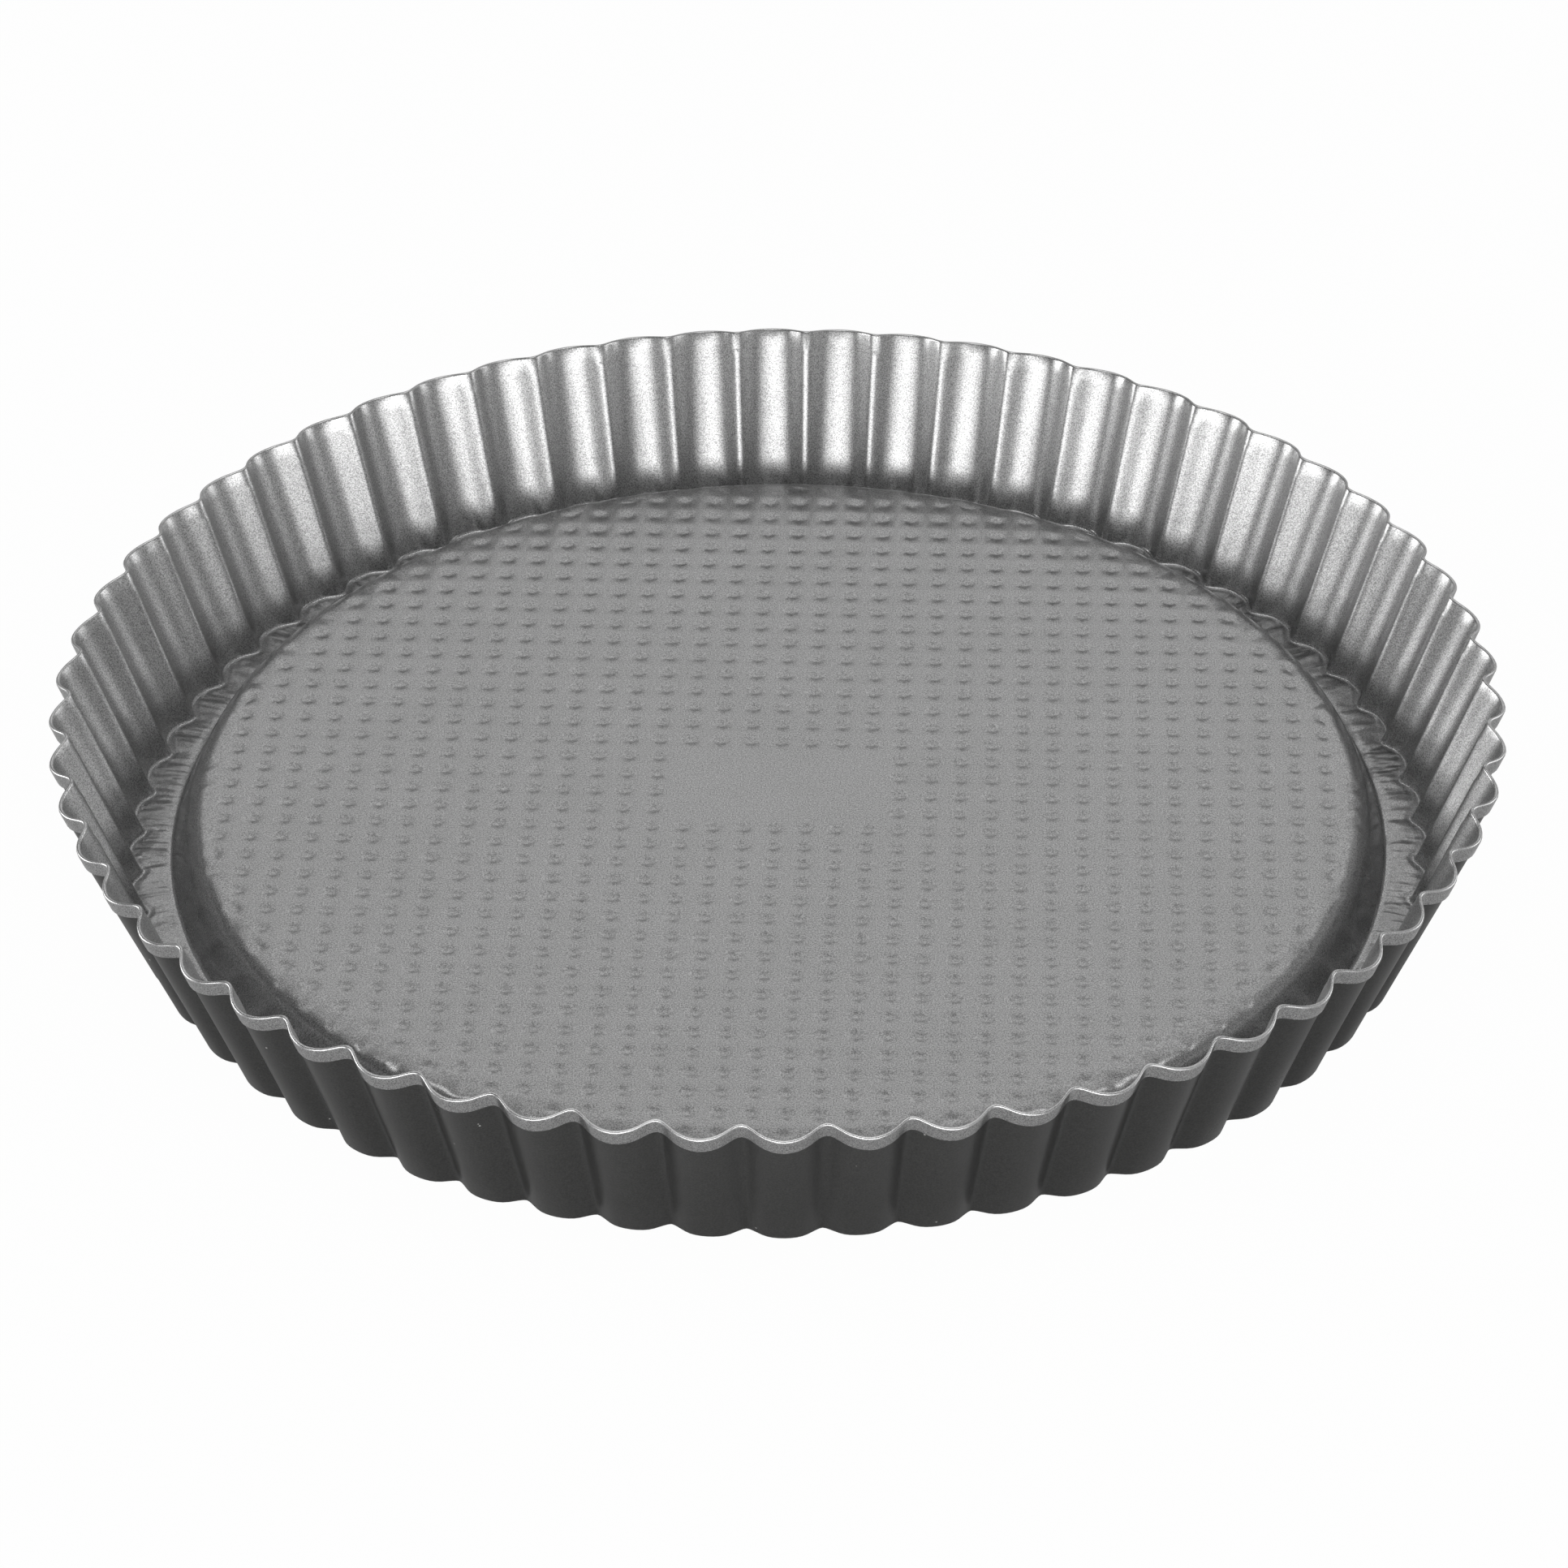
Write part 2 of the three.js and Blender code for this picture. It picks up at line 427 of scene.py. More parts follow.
@dataclass
class PressMarks:
    """What the press leaves on the sheet besides its main shape, different from flute to flute.

    Wrinkles cross the gutter where the sheet was drawn into each lobe, and the coat is gathered there; the
    gathers also set the painted shade that darkens the gutter.
    The shoulder keeps a faint ripple for each flute. The single sheet below the hem folds tighter than the
    doubled one above, so each ridge stands out more there and starts with a step. Fine streaks run up the
    wall, the way that the sheet was drawn, and the whole wall sways slowly from flute to flute.
    """

    flutes: Flutes
    seed: int = 58

    # The gutter: the lobe values are the part that the ridges go without
    wrinkle_height: float = 0.8
    wrinkle_rows: int = 7
    wrinkle_mix: float = 0.5
    wrinkle_lobe: float = 0.3
    wrinkle_fade: float = 0.3
    gather_lobe: float = 0.6
    gather_spread: tuple[float, float] = (0.2, 1.1)

    # The shoulder
    ripple_height: float = 0.06
    ripple_spread: tuple[float, float] = (0.3, 1.5)

    # The ridges, with widths in radians of a flute, and the step under the hem, in shares of the wall
    ridge_height: float = 0.20
    ridge_spread: tuple[float, float] = (0.7, 1.2)
    ridge_width: float = 0.50
    ridge_wander: float = 0.12
    hem_line: float = 0.90
    hem_step: float = 0.02
    hem_wander: float = 0.008

    # The wall: the sway is a sum of waves with these many turns round the tin
    streak_height: float = 0.012
    streak_fade: float = 0.5
    sway: float = 0.05
    sway_turns: tuple[int, ...] = (7, 12, 19, 29, 41, 53)
    sway_lean: float = 2.2

    def __post_init__(self) -> None:
        """Draw each flute's own share of every mark."""
        random = np.random.default_rng(self.seed)
        count = self.flutes.count
        columns = count * self.flutes.steps
        folds = random.uniform(0.0, 1.0, (1, columns))
        creases = random.uniform(0.0, 1.0, (self.wrinkle_rows, columns))
        wrinkles = self.wrinkle_mix * folds + (1 - self.wrinkle_mix) * creases
        self.wrinkle_share = (wrinkles + np.roll(wrinkles, 1, axis=1)) / 2
        self.ripple_share = random.uniform(*self.ripple_spread, count)
        self.ridge_share = random.uniform(*self.ridge_spread, count)
        self.ridge_shift = random.uniform(-self.ridge_wander, self.ridge_wander, count)
        self.hem_shift = random.uniform(-self.hem_wander, self.hem_wander, count)
        self.streak_share = random.uniform(-1.0, 1.0, (2, columns))
        self.sway_start = random.uniform(0, TURN, len(self.sway_turns))
        self.gather_share = random.uniform(*self.gather_spread, count)

    def lobes(self, phase: np.ndarray) -> np.ndarray:
        """Give the number of the lobe that each column is nearest to."""
        return np.round(phase / TURN).astype(int) % self.flutes.count

    @staticmethod
    def lobe_swell(part: float, phase: np.ndarray) -> np.ndarray:
        """Give one on the lobes, and less by this part on the ridges."""
        return 1 - part + part * np.cos(phase / 2) ** 2

    def wrinkles(self, share: float, phase: np.ndarray) -> np.ndarray:
        """Rise of the gutter's wrinkles, which run from the crease to the foot and are deepest in the lobes.

        Args:
            share: How far across the gutter.
            phase: Phase of each column.

        Returns:
            Rise towards the bowl at each column.
        """
        step = share * (self.wrinkle_rows - 1)
        row = min(int(step), self.wrinkle_rows - 2)
        near, far = self.wrinkle_share[row:row + 2]
        swell = self.lobe_swell(self.wrinkle_lobe, phase) * (near + (step - row) * (far - near))
        return self.wrinkle_height * swell * math.sin(math.pi * share) ** self.wrinkle_fade

    def gathers(self, phase: np.ndarray) -> np.ndarray:
        """Give how far the coat is gathered at each column, flute by flute, which also sets the gutter's
        painted shade.
        """
        return self.gather_share[self.lobes(phase)] * self.lobe_swell(self.gather_lobe, phase)

    def ripple(self, share: float, phase: np.ndarray) -> np.ndarray:
        """Faint wave of the shoulder, one for each flute."""
        height = self.ripple_height * self.ripple_share[self.lobes(phase)]
        return height * math.sin(math.pi * share) * np.cos(phase)

    def ridges(self, share: float, phase: np.ndarray) -> np.ndarray:
        """Rise of the ridges below the hem, with a step under it.

        Args:
            share: How far up the wall.
            phase: Phase of each column.

        Returns:
            Rise towards the bowl at each column.
        """
        ridge = np.floor(phase / TURN).astype(int) % self.flutes.count
        across = phase % TURN - math.pi - self.ridge_shift[ridge] * math.sin(math.pi * share)
        tent = np.clip(1 - np.abs(across) / self.ridge_width, 0, 1)
        line = self.hem_line + self.hem_shift[ridge]
        below = np.clip((line - share) / self.hem_step + 0.5, 0, 1)
        return self.ridge_height * self.ridge_share[ridge] * tent * below

    def streaks(self, share: float) -> np.ndarray:
        """Fine streaks up the wall, faint at its foot and its rim."""
        low, high = self.streak_share
        return (self.streak_height * math.sin(math.pi * share) ** self.streak_fade
                * (low + share * (high - low)))

    def unevenness(self, share: float, phase: np.ndarray) -> np.ndarray:
        """Slow sway of the wall from flute to flute, as in any pressed sheet.

        Args:
            share: How far up the wall.
            phase: Phase of each column.

        Returns:
            Move towards the bowl at each column.
        """
        around = phase / self.flutes.count
        lean = self.sway_lean * share
        waves = [np.sin(turns * around + start + lean * (-1) ** turns)
                 for turns, start in zip(self.sway_turns, self.sway_start)]
        return self.sway * share * sum(waves) / math.sqrt(len(waves))

    def moves(self, rows: Rows, phase: np.ndarray) -> np.ndarray:
        """Gather the marks of the whole sheet, which every layer shares.

        Args:
            rows: The face's rows.
            phase: Phase of each column.

        Returns:
            Moves towards the bowl, one for each row and column.
        """
        moves = np.zeros((len(rows.points), len(phase)))
        for index, (zone, share) in enumerate(zip(rows.zones, rows.shares)):
            if zone is Zone.SHOULDER:
                moves[index] = self.ripple(share, phase)
            elif zone is Zone.WALL:
                moves[index] = self.ridges(share, phase) + self.unevenness(share, phase) + self.streaks(share)
            elif zone in (Zone.FOLD, Zone.LEAF):
                turned = 1.0 - 2.0 * share if zone is Zone.FOLD else -1.0
                moves[index] = self.unevenness(1.0, phase) * turned
            elif zone is Zone.FOOT:
                moves[index] = self.ridges(0.0, phase) * share
        return moves


@dataclass(frozen=True)
class Dimples:
    """The square grid of small dimples pressed into the platform, with a bare patch left in the middle.

    The grid runs on over the platform's edge, so the outermost dimples dent the break too.
    """

    pitch: float = 6.01
    radius: float = 2.3
    depth: float = 0.40
    turn: float = math.radians(-3.0)
    shift: tuple[float, float] = (-0.2, -2.3)

    # The bare patch: half its width and depth, and its middle
    patch: tuple[float, float] = (22.0, 12.5)
    patch_middle: tuple[float, float] = (0.3, 1.9)

    # How far from the axis dimples are pressed and cells are drawn, and where overhanging cells are drawn in
    reach: float = 114.5
    cell_reach: float = 112.0
    squeeze: tuple[float, float] = (109.5, 112.5)

    # Corners and side middles of a cell, in half pitches, one for each spoke of its dimple
    SIDES: ClassVar[np.ndarray] = np.array(
        [(1, 0), (1, 1), (0, 1), (-1, 1), (-1, 0), (-1, -1), (0, -1), (1, -1)])

    # A dimple from its middle out, as shares of its radius and depth
    RINGS: ClassVar[tuple[tuple[float, float], ...]] = ((0.0, 1.0), (0.45, 0.52), (1.0, 0.0))

    @property
    def axes(self) -> np.ndarray:
        """Ways of the grid's rows and columns."""
        cosine, sine = math.cos(self.turn), math.sin(self.turn)
        return np.array([[cosine, sine], [-sine, cosine]])

    def to_tin(self, halves: np.ndarray) -> np.ndarray:
        """Turn places in the grid, counted in half pitches, into the tin's millimetres."""
        return halves * (self.pitch / 2) @ self.axes + np.array(self.shift)

    def cells(self) -> np.ndarray:
        """Find the cells of the grid that belong to the platform.

        Returns:
            Middles of the cells in half pitches.
        """
        count = int(self.cell_reach // self.pitch) + 1
        steps = 2 * np.arange(-count, count + 1)
        middles = np.stack(np.meshgrid(steps, steps, indexing="ij"), -1).reshape(-1, 2)
        return middles[np.linalg.norm(self.to_tin(middles), axis=1) < self.cell_reach]

    def drawn_in(self, places: np.ndarray) -> np.ndarray:
        """Draw places that overhang the platform in to its edge, in order of their distance.

        Args:
            places: Places in millimetres, in the last axis.

        Returns:
            The places, none of them beyond the edge.
        """
        start, end = self.squeeze
        far = np.linalg.norm(places, axis=-1, keepdims=True)
        over = np.maximum(far - start, 0) / (end - start)
        return places * np.where(over > 0, (start + (end - start) * (1 - np.exp(-over))) / far, 1)

    def dent(self, places: np.ndarray) -> np.ndarray:
        """Give the dimples' depth at places on the tin.

        Args:
            places: Places in millimetres, in the last axis.

        Returns:
            Depth at each place.
        """
        nearest = np.round((places - np.array(self.shift)) @ self.axes.T / self.pitch)
        middles = self.to_tin(2 * nearest)
        off = np.abs(middles - np.array(self.patch_middle))
        pressed = (off >= np.array(self.patch)).any(axis=-1) & (np.linalg.norm(middles, axis=-1) < self.reach)
        shares, falls = zip(*self.RINGS)
        away = np.linalg.norm(places - middles, axis=-1) / self.radius
        return self.depth * pressed * np.interp(away, shares, falls)


class Wear(IntEnum):
    """Coat marks: crest rubbing with painted highlight, wall drawing, gutter gathering with painted shade."""

    CREST = 0
    DRAWN = 1
    GATHERED_AND_SHADED = 2

    @property
    def attribute(self) -> str:
        """Name of the mesh attribute that keeps it."""
        return self.name.lower()


@dataclass
class Shell:
    """Vertices and faces of a closed layer as they are gathered."""

    vertices: list[np.ndarray] = field(default_factory=list)
    faces: list[tuple[int, ...]] = field(default_factory=list)
    wear: list[np.ndarray] = field(default_factory=list)
    count: int = 0

    def add(self, vertices: np.ndarray, wear: np.ndarray | None = None) -> int:
        """Add vertices and give the number of the first one.

        Args:
            vertices: Places in millimetres, one in each row.
            wear: How much of every kind of wear each has, or nothing where there is none.

        Returns:
            Index of the first new vertex.
        """
        first = self.count
        self.vertices.append(vertices)
        self.wear.append(np.zeros((len(vertices), len(Wear))) if wear is None else wear)
        self.count += len(vertices)
        return first

    def add_faces(self, faces: np.ndarray, flip: bool) -> None:
        """Add faces by their vertices, turned over where flip is set."""
        turned = faces[:, ::-1] if flip else faces
        self.faces.extend(map(tuple, turned.tolist()))

    def to_object(self, name: str) -> bpy.types.Object:
        """Make the shell a mesh object in metres, smooth but for its raw edges.

        Args:
            name: Name of the piece.

        Returns:
            The object, linked to the scene.
        """
        mesh = bpy.data.meshes.new(name)
        mesh.from_pydata((np.concatenate(self.vertices) * MM).tolist(), [], self.faces)
        mesh.update()
        wear = np.concatenate(self.wear).astype(np.float32)
        for kind in Wear:
            layer = mesh.attributes.new(kind.attribute, "FLOAT", "POINT")
            layer.data.foreach_set("value", np.ascontiguousarray(wear[:, kind]))
        mesh.shade_smooth()
        mesh.set_sharp_from_angle(angle=SHARP_EDGE)
        piece = bpy.data.objects.new(name, mesh)
        bpy.context.scene.collection.objects.link(piece)
        return piece


@dataclass(frozen=True)
class Face:
    """One face of a layer: its distance from the steel's bowl face, towards the bowl, and how it is drawn."""

    offset: float
    detail: Detail
    wrinkled: bool = False


@dataclass
class Pressing:
    """The pressed sheet: lays any face of it, at any depth, into a shell."""

    section: Section = field(default_factory=Section)
    flutes: Flutes = field(default_factory=Flutes)
    dimples: Dimples = field(default_factory=Dimples)

    def __post_init__(self) -> None:
        """Draw the marks once, so that every layer shares them."""
        self.marks = PressMarks(self.flutes)

    def place(self, rows: Rows, phase: np.ndarray, face: Face) -> np.ndarray:
        """Place the rows round the tin.

        Args:
            rows: The face's rows.
            phase: Phase of each column.
            face: The face.

        Returns:
            Places by row and column.
        """
        moves = self.marks.moves(rows, phase) + face.offset
        rises = []
        for index, (zone, share) in enumerate(zip(rows.zones, rows.shares)):
            rises.append(share if zone is Zone.WALL else float(zone in (Zone.FOLD, Zone.LEAF)))
            if face.wrinkled and zone is Zone.GUTTER:
                moves[index] += self.marks.wrinkles(share, phase)
        wave = np.stack([self.flutes.wave(phase, rise) for rise in rises])[:, :, None]
        flat = np.array(rows.points)[:, None, :] + np.array(rows.travels)[:, None, :] * wave
        flat = flat + np.array(rows.aways)[:, None, :] * moves[:, :, None]
        angle = self.flutes.angles(phase)
        places = np.stack([flat[..., 0] * np.cos(angle), flat[..., 0] * np.sin(angle), flat[..., 1]], -1)
        for zone, share, row in zip(rows.zones, rows.shares, places):
            if zone is Zone.BREAK:
                row[:, 2] -= (1 - share) * self.dimples.dent(row[:, :2])
                row[:, 2] -= self.section.slack(row[:, :2])
            elif zone is Zone.SHOULDER:
                row[:, 2] -= (1 - share) * self.section.slack(row[:, :2])
        return places

    def wear(self, rows: Rows, phase: np.ndarray) -> np.ndarray:
        """Give what a coat went through round the tin.

        Args:
            rows: The face's rows.
            phase: Phase of each column.

        Returns:
            Values by row, column and kind of wear.
        """
        wear = np.zeros((len(rows.points), len(phase), len(Wear)))
        for zone, share, row in zip(rows.zones, rows.shares, wear):
            if zone is Zone.FOLD:
                # The crest value carries rubbing wear and a painted highlight.
                row[:, Wear.CREST] = math.sin(math.pi * share)
            elif zone is Zone.WALL:
                row[:, Wear.DRAWN] = 1.0
            elif zone is Zone.GUTTER:
                # The gathers also carry the gutter's painted shade.
                row[:, Wear.GATHERED_AND_SHADED] = self.marks.gathers(phase)
        return wear

    def add_spots(self, shell: Shell, places: np.ndarray, level: float) -> int:
        """Add places of the platform to a shell, sunk by the dimples and the fall of its edge.

        Args:
            shell: Shell that takes them.
            places: Places in millimetres, in the last axis.
            level: Height of the face where the platform is flat.

        Returns:
            Index of the first new vertex.
        """
        flat = self.dimples.drawn_in(places.reshape(-1, 2))
        fall = self.section.fall(np.linalg.norm(flat, axis=1)) + self.section.slack(flat)
        return shell.add(np.column_stack([flat, level - fall - self.dimples.dent(flat)]))

    def lay_platform(self, shell: Shell, edge: np.ndarray, edge_first: int, offset: float,
                     flip: bool) -> None:
        """Lay the platform inside its edge: a cell for each dimple, and a border of triangles.

        Args:
            shell: Shell that takes the faces.
            edge: Places of the platform's edge.
            edge_first: Index of the edge's first vertex.
            offset: Distance from the steel's bowl face.
            flip: Whether the face looks down.
        """
        dimples = self.dimples
        level = self.section.platform_z + offset
        middles = dimples.cells()
        sides = (middles[:, None, :] + dimples.SIDES).reshape(-1, 2)
        nodes, number, met = np.unique(sides, axis=0, return_inverse=True, return_counts=True)
        node_first = self.add_spots(shell, dimples.to_tin(nodes), level)

        spokes = len(dimples.SIDES)
        around = np.arctan2(dimples.SIDES[:, 1], dimples.SIDES[:, 0]) + dimples.turn
        spread = np.stack([np.cos(around), np.sin(around)], 1) * dimples.radius
        tops = dimples.to_tin(middles)
        inner = None
        for share, _ in dimples.RINGS:
            dots = spokes if share else 1
            first = self.add_spots(shell, tops[:, None, :] + share * spread[None, :dots], level)
            outer = first + np.arange(len(tops) * dots).reshape(-1, dots)
            if inner is not None:
                self.join_rings(shell, inner, outer, flip)
            inner = outer
        self.join_rings(shell, inner, node_first + number.reshape(-1, spokes), flip)

        # Inside the grid a corner is met by four cells and the middle of a side by two: fewer is its border
        corner = (np.abs(nodes) % 2 == 1).all(axis=1)
        border = met < np.where(corner, 4, 2)
        places = dimples.to_tin(nodes[border])
        border_angle = np.arctan2(places[:, 1], places[:, 0])
        order = np.argsort(border_angle)
        edge_angle = np.arctan2(edge[:, 1], edge[:, 0])
        edge_order = np.argsort(edge_angle)
        loop = node_first + np.flatnonzero(border)[order]
        triangles = self.zipped(loop, border_angle[order], edge_first + edge_order, edge_angle[edge_order])
        shell.add_faces(triangles, flip)

    @staticmethod
    def join_rings(shell: Shell, inner: np.ndarray, outer: np.ndarray, flip: bool) -> None:
        """Join two rings of every dimple, or its middle and a ring.

        Args:
            shell: Shell that takes the faces.
            inner: Vertices of the inner rings, a row for each dimple.
            outer: Vertices of the outer rings.
            flip: Whether the face looks down.
        """
        after = np.roll(outer, -1, axis=1)
        if inner.shape[1] == 1:
            faces = np.stack([np.broadcast_to(inner, outer.shape), outer, after], -1)
        else:
            faces = np.stack([inner, outer, after, np.roll(inner, -1, axis=1)], -1)
        shell.add_faces(faces.reshape(-1, faces.shape[-1]), flip)

    @staticmethod
    def zipped(inner: np.ndarray, inner_angle: np.ndarray, outer: np.ndarray,
               outer_angle: np.ndarray) -> np.ndarray:
        """Join two loops with triangles, stepping along whichever lags in angle.

        Args:
            inner: Vertices of the inner loop, in order of angle.
            inner_angle: Their angles.
            outer: Vertices of the outer loop, in order of angle.
            outer_angle: Their angles.

        Returns:
            Triangles that face up.
        """
        triangles = []
        i = 0
        j = 0
        while i < len(inner) or j < len(outer):
            turn_in = inner_angle[(i + 1) % len(inner)] + TURN * ((i + 1) // len(inner))
            turn_out = outer_angle[(j + 1) % len(outer)] + TURN * ((j + 1) // len(outer))
            a = inner[i % len(inner)]
            b = outer[j % len(outer)]
            if j < len(outer) and (i >= len(inner) or turn_out <= turn_in):
                j += 1
                triangles.append((a, b, outer[j % len(outer)]))
            else:
                i += 1
                triangles.append((a, b, inner[i % len(inner)]))
        return np.array(triangles)

    def lay_face(self, shell: Shell, face: Face, to: Zone, flip: bool) -> np.ndarray:
        """Lay one face of the sheet from the platform out to the end of a zone.

        Args:
            shell: Shell that takes the face.
            face: The face.
            to: Last zone of the face.
            flip: Whether the face looks out of the tin.

        Returns:
            Vertices of the last row.
        """
        rows = self.section.rows(face.detail, self.marks.hem_line)
        phase = self.flutes.phases()
        count = rows.zones.index(Zone.FOLD) + 1 if to is Zone.WALL else len(rows.zones)
        places = self.place(rows, phase, face)[:count]
        wear = self.wear(rows, phase)[:count]
        first = shell.add(places.reshape(-1, 3), wear.reshape(-1, len(Wear)))
        self.lay_platform(shell, places[0], first, face.offset, flip)
        grid = first + np.arange(count * len(phase)).reshape(count, -1)
        beside = np.roll(grid, -1, axis=1)
        quads = np.stack([grid[:-1], grid[1:], beside[1:], beside[:-1]], -1).reshape(-1, 4)
        shell.add_faces(quads, flip)
        return grid[-1]

    def layer(self, bowl: Face, outside: Face, to: Zone) -> Shell:
        """Draw a closed layer between two faces.

        Args:
            bowl: The face towards the bowl.
            outside: The face away from it.
            to: Last zone of the layer.

        Returns:
            The layer, closed along its raw edge.
        """
        shell = Shell()
        bowl_edge = self.lay_face(shell, bowl, to, False)
        outside_edge = self.lay_face(shell, outside, to, True)
        strip = np.stack([bowl_edge, outside_edge, np.roll(outside_edge, -1), np.roll(bowl_edge, -1)], 1)
        shell.add_faces(strip, False)
        return shell


@dataclass(frozen=True)
class NonstickFinish:
    """Metallic non-stick coat: a sprayed, baked resin film filled with aluminium flake."""

    # The film and its flakes
    deep: str = "#7a7a7a"
    pale: str = "#bcbcbc"
    # Pale tone of the crest: partly rubbing wear, partly a painted highlight
    rubbed_highlight: str = "#e2e2e2"
    flake: float = 0.26
    flake_band: tuple[float, float] = (0.34, 0.66)
    relief: float = 0.008
    metallic: float = 0.9

    # Its gloss, which varies in soft clouds and is duller where the sheet was drawn
    cloud: float = 16.0
    roughness: tuple[float, float] = (0.24, 0.30)
    drawn_dulling: float = 0.10
    varnish: float = 0.5
    varnish_roughness: float = 0.12

    # The gutter, where the coat is gathered and its colour darkened as painted shade
    gutter_shade_share: float = 0.6
    crumple: float = 1.7
    crumple_stretch: float = 3.0
    crumple_height: float = 0.7
    gutter_radius: float = 123.5

    def round_axis(self, tree: bpy.types.NodeTree, where: bpy.types.NodeSocket) -> bpy.types.NodeSocket:
        """Lay the pattern of the gathers round the tin's axis, stretched along the radius.

        Args:
            tree: Tree of the material.
            where: Places in the tin's frame.

        Returns:
            Places along the gutter and across it.
        """
        sides = add_node(tree, "ShaderNodeSeparateXYZ", {"Vector": where}).outputs
        angle = add_node(tree, "ShaderNodeMath", {0: sides["X"], 1: sides["Y"]}, operation="ARCTAN2")
        along = add_node(tree, "ShaderNodeMath", {0: angle.outputs["Value"], 1: self.gutter_radius * MM},
                         operation="MULTIPLY")
        radius = add_node(tree, "ShaderNodeVectorMath", {0: where}, operation="LENGTH")
        across = add_node(tree, "ShaderNodeMath", {0: radius.outputs["Value"], 1: self.crumple_stretch},
                          operation="DIVIDE")
        return add_node(tree, "ShaderNodeCombineXYZ", {
            "X": along.outputs["Value"], "Y": across.outputs["Value"]}).outputs["Vector"]

    def build(self) -> bpy.types.Material:
        """Make the material.

        Returns:
            The material of the bowl's lining.
        """
        # Half gloss with a fine silver grain: the flakes break the shine up and blur what it mirrors.
        # Real flakes are about 0.04 mm, too fine to show, so the grain is drawn about six times as coarse.
        # The coat is duller up the drawn wall, crumpled where the gutter gathered it and darkened there as
        # painted shade, and brightened along the rim's crest, partly from rubbing and partly as a painted
        # highlight.
        material, tree = fresh_material("metallic_nonstick_coat")
        where = add_node(tree, "ShaderNodeTexCoord").outputs["Object"]
        flake = add_node(tree, "ShaderNodeTexNoise", {
            "Vector": where, "Scale": per_metre(self.flake), "Detail": 1.5, "Roughness": 0.6})
        cloud = add_node(tree, "ShaderNodeTexNoise", {
            "Vector": where, "Scale": per_metre(self.cloud), "Detail": 3.0, "Roughness": 0.55})
        grain = add_node(tree, "ShaderNodeMapRange", {
            "Value": flake.outputs["Fac"], "From Min": self.flake_band[0], "From Max": self.flake_band[1]})
        silver = add_node(tree, "ShaderNodeMix", {
            MIX_SHARE: grain.outputs["Result"], MIX_FIRST: linear(self.deep), MIX_SECOND: linear(self.pale)},
            data_type="RGBA")
        # Painted shade: where the gutter's coat is gathered, its colour is mixed towards the deep tone.
        gathered = add_node(tree, "ShaderNodeAttribute", attribute_name=Wear.GATHERED_AND_SHADED.attribute)
        painted_gutter_shade = add_node(tree, "ShaderNodeMath", {0: gathered.outputs["Fac"], 1: self.gutter_shade_share},
                          operation="MULTIPLY")
        silver_with_gutter_shade = add_node(tree, "ShaderNodeMix", {
            MIX_SHARE: painted_gutter_shade.outputs["Value"], MIX_FIRST: silver.outputs[MIX_COLOUR],
            MIX_SECOND: linear(self.deep)}, data_type="RGBA")
        # Painted highlight, partly real rubbing: the crest's colour is mixed towards a pale tone.
        crest = add_node(tree, "ShaderNodeAttribute", attribute_name=Wear.CREST.attribute)
        worn_and_highlit = add_node(tree, "ShaderNodeMath", {0: crest.outputs["Fac"], 1: cloud.outputs["Fac"]},
                        operation="MULTIPLY")
        colour = add_node(tree, "ShaderNodeMix", {
            MIX_SHARE: worn_and_highlit.outputs["Value"], MIX_FIRST: silver_with_gutter_shade.outputs[MIX_COLOUR],
            MIX_SECOND: linear(self.rubbed_highlight)}, data_type="RGBA")
        blur = add_node(tree, "ShaderNodeMapRange", {
            "Value": cloud.outputs["Fac"], "From Min": NOISE_BAND[0], "From Max": NOISE_BAND[1],
            "To Min": self.roughness[0], "To Max": self.roughness[1]})
        drawn = add_node(tree, "ShaderNodeAttribute", attribute_name=Wear.DRAWN.attribute)
        dulled = add_node(tree, "ShaderNodeMath", {
            0: drawn.outputs["Fac"], 1: self.drawn_dulling, 2: blur.outputs["Result"]},
            operation="MULTIPLY_ADD")
        bump = add_node(tree, "ShaderNodeBump", {
            "Height": flake.outputs["Fac"], "Strength": 1.0, "Distance": self.relief * MM})
        crumple = add_node(tree, "ShaderNodeTexNoise", {
            "Vector": self.round_axis(tree, where), "Scale": per_metre(self.crumple), "Detail": 0.6,
            "Roughness": 0.5})
        gathers = add_node(tree, "ShaderNodeBump", {
            "Height": crumple.outputs["Fac"], "Strength": gathered.outputs["Fac"],
            "Distance": self.crumple_height * MM, "Normal": bump.outputs["Normal"]})
        shader = add_node(tree, "ShaderNodeBsdfPrincipled", {
            "Base Color": colour.outputs[MIX_COLOUR], "Metallic": self.metallic,
            "Roughness": dulled.outputs["Value"], "Normal": gathers.outputs["Normal"],
            "Coat Weight": self.varnish, "Coat Roughness": self.varnish_roughness})
        add_node(tree, "ShaderNodeOutputMaterial", {"Surface": shader.outputs["BSDF"]})
        return material


